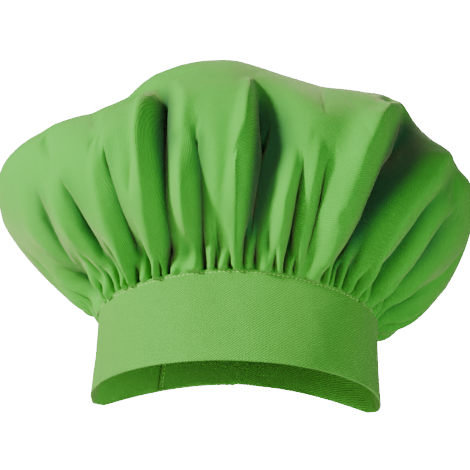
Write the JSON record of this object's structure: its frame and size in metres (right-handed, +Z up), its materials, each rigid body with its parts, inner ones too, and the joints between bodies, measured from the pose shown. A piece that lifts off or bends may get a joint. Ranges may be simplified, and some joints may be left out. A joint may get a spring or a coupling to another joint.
{
  "type": "chef toque",
  "caption": "Soft chef hat: a wide gathered one-piece fabric crown on a folded, stiffened headband with a hook-and-loop closure tab at the back.",
  "frame": {"origin": "middle of the head opening, on the plane of the headband's lower edge at the front and sides", "axes": "+Z up through the crown, -Y the way the wearer faces, +X the wearer's left"},
  "size_m": [0.3584, 0.2985, 0.2463],
  "materials": {
    "crown_twill": "matte cotton twill",
    "thread": "spun sewing thread",
    "band_twill": "matte cotton twill, pressed",
    "stiffener": "non-woven",
    "loop_pile": "brushed loop pile",
    "hook_tape": "woven ground with moulded hooks",
    "label": "satin ribbon"
  },
  "bodies": {
    "hat": {"crown": "crown_twill", "gathering_thread": "thread", "vent_binding": "crown_twill", "vent_bar_tack": "thread", "band_shell": "band_twill", "band_stiffener": "stiffener", "band_topstitching": "thread", "band_end_stitching": "thread", "loop_tape": "loop_pile", "loop_tape_stitching": "thread", "tab_root": "band_twill", "tab_root_stitching": "thread", "care_label": "label", "care_label_stitching": "thread"},
    "tab": {"closure_tab": "band_twill", "tab_stiffener": "stiffener", "tab_stitching": "thread", "hook_tape": "hook_tape", "hook_tape_stitching": "thread"}
  },
  "joints": [
    {"name": "tab_peel", "type": "hinge", "parent": "hat", "child": "tab", "pos_m": [0.02158, 0.06546, 0.04226], "axis": [0.0211, -0.2265, -0.9738], "range_deg": [0, 75]}
  ]
}
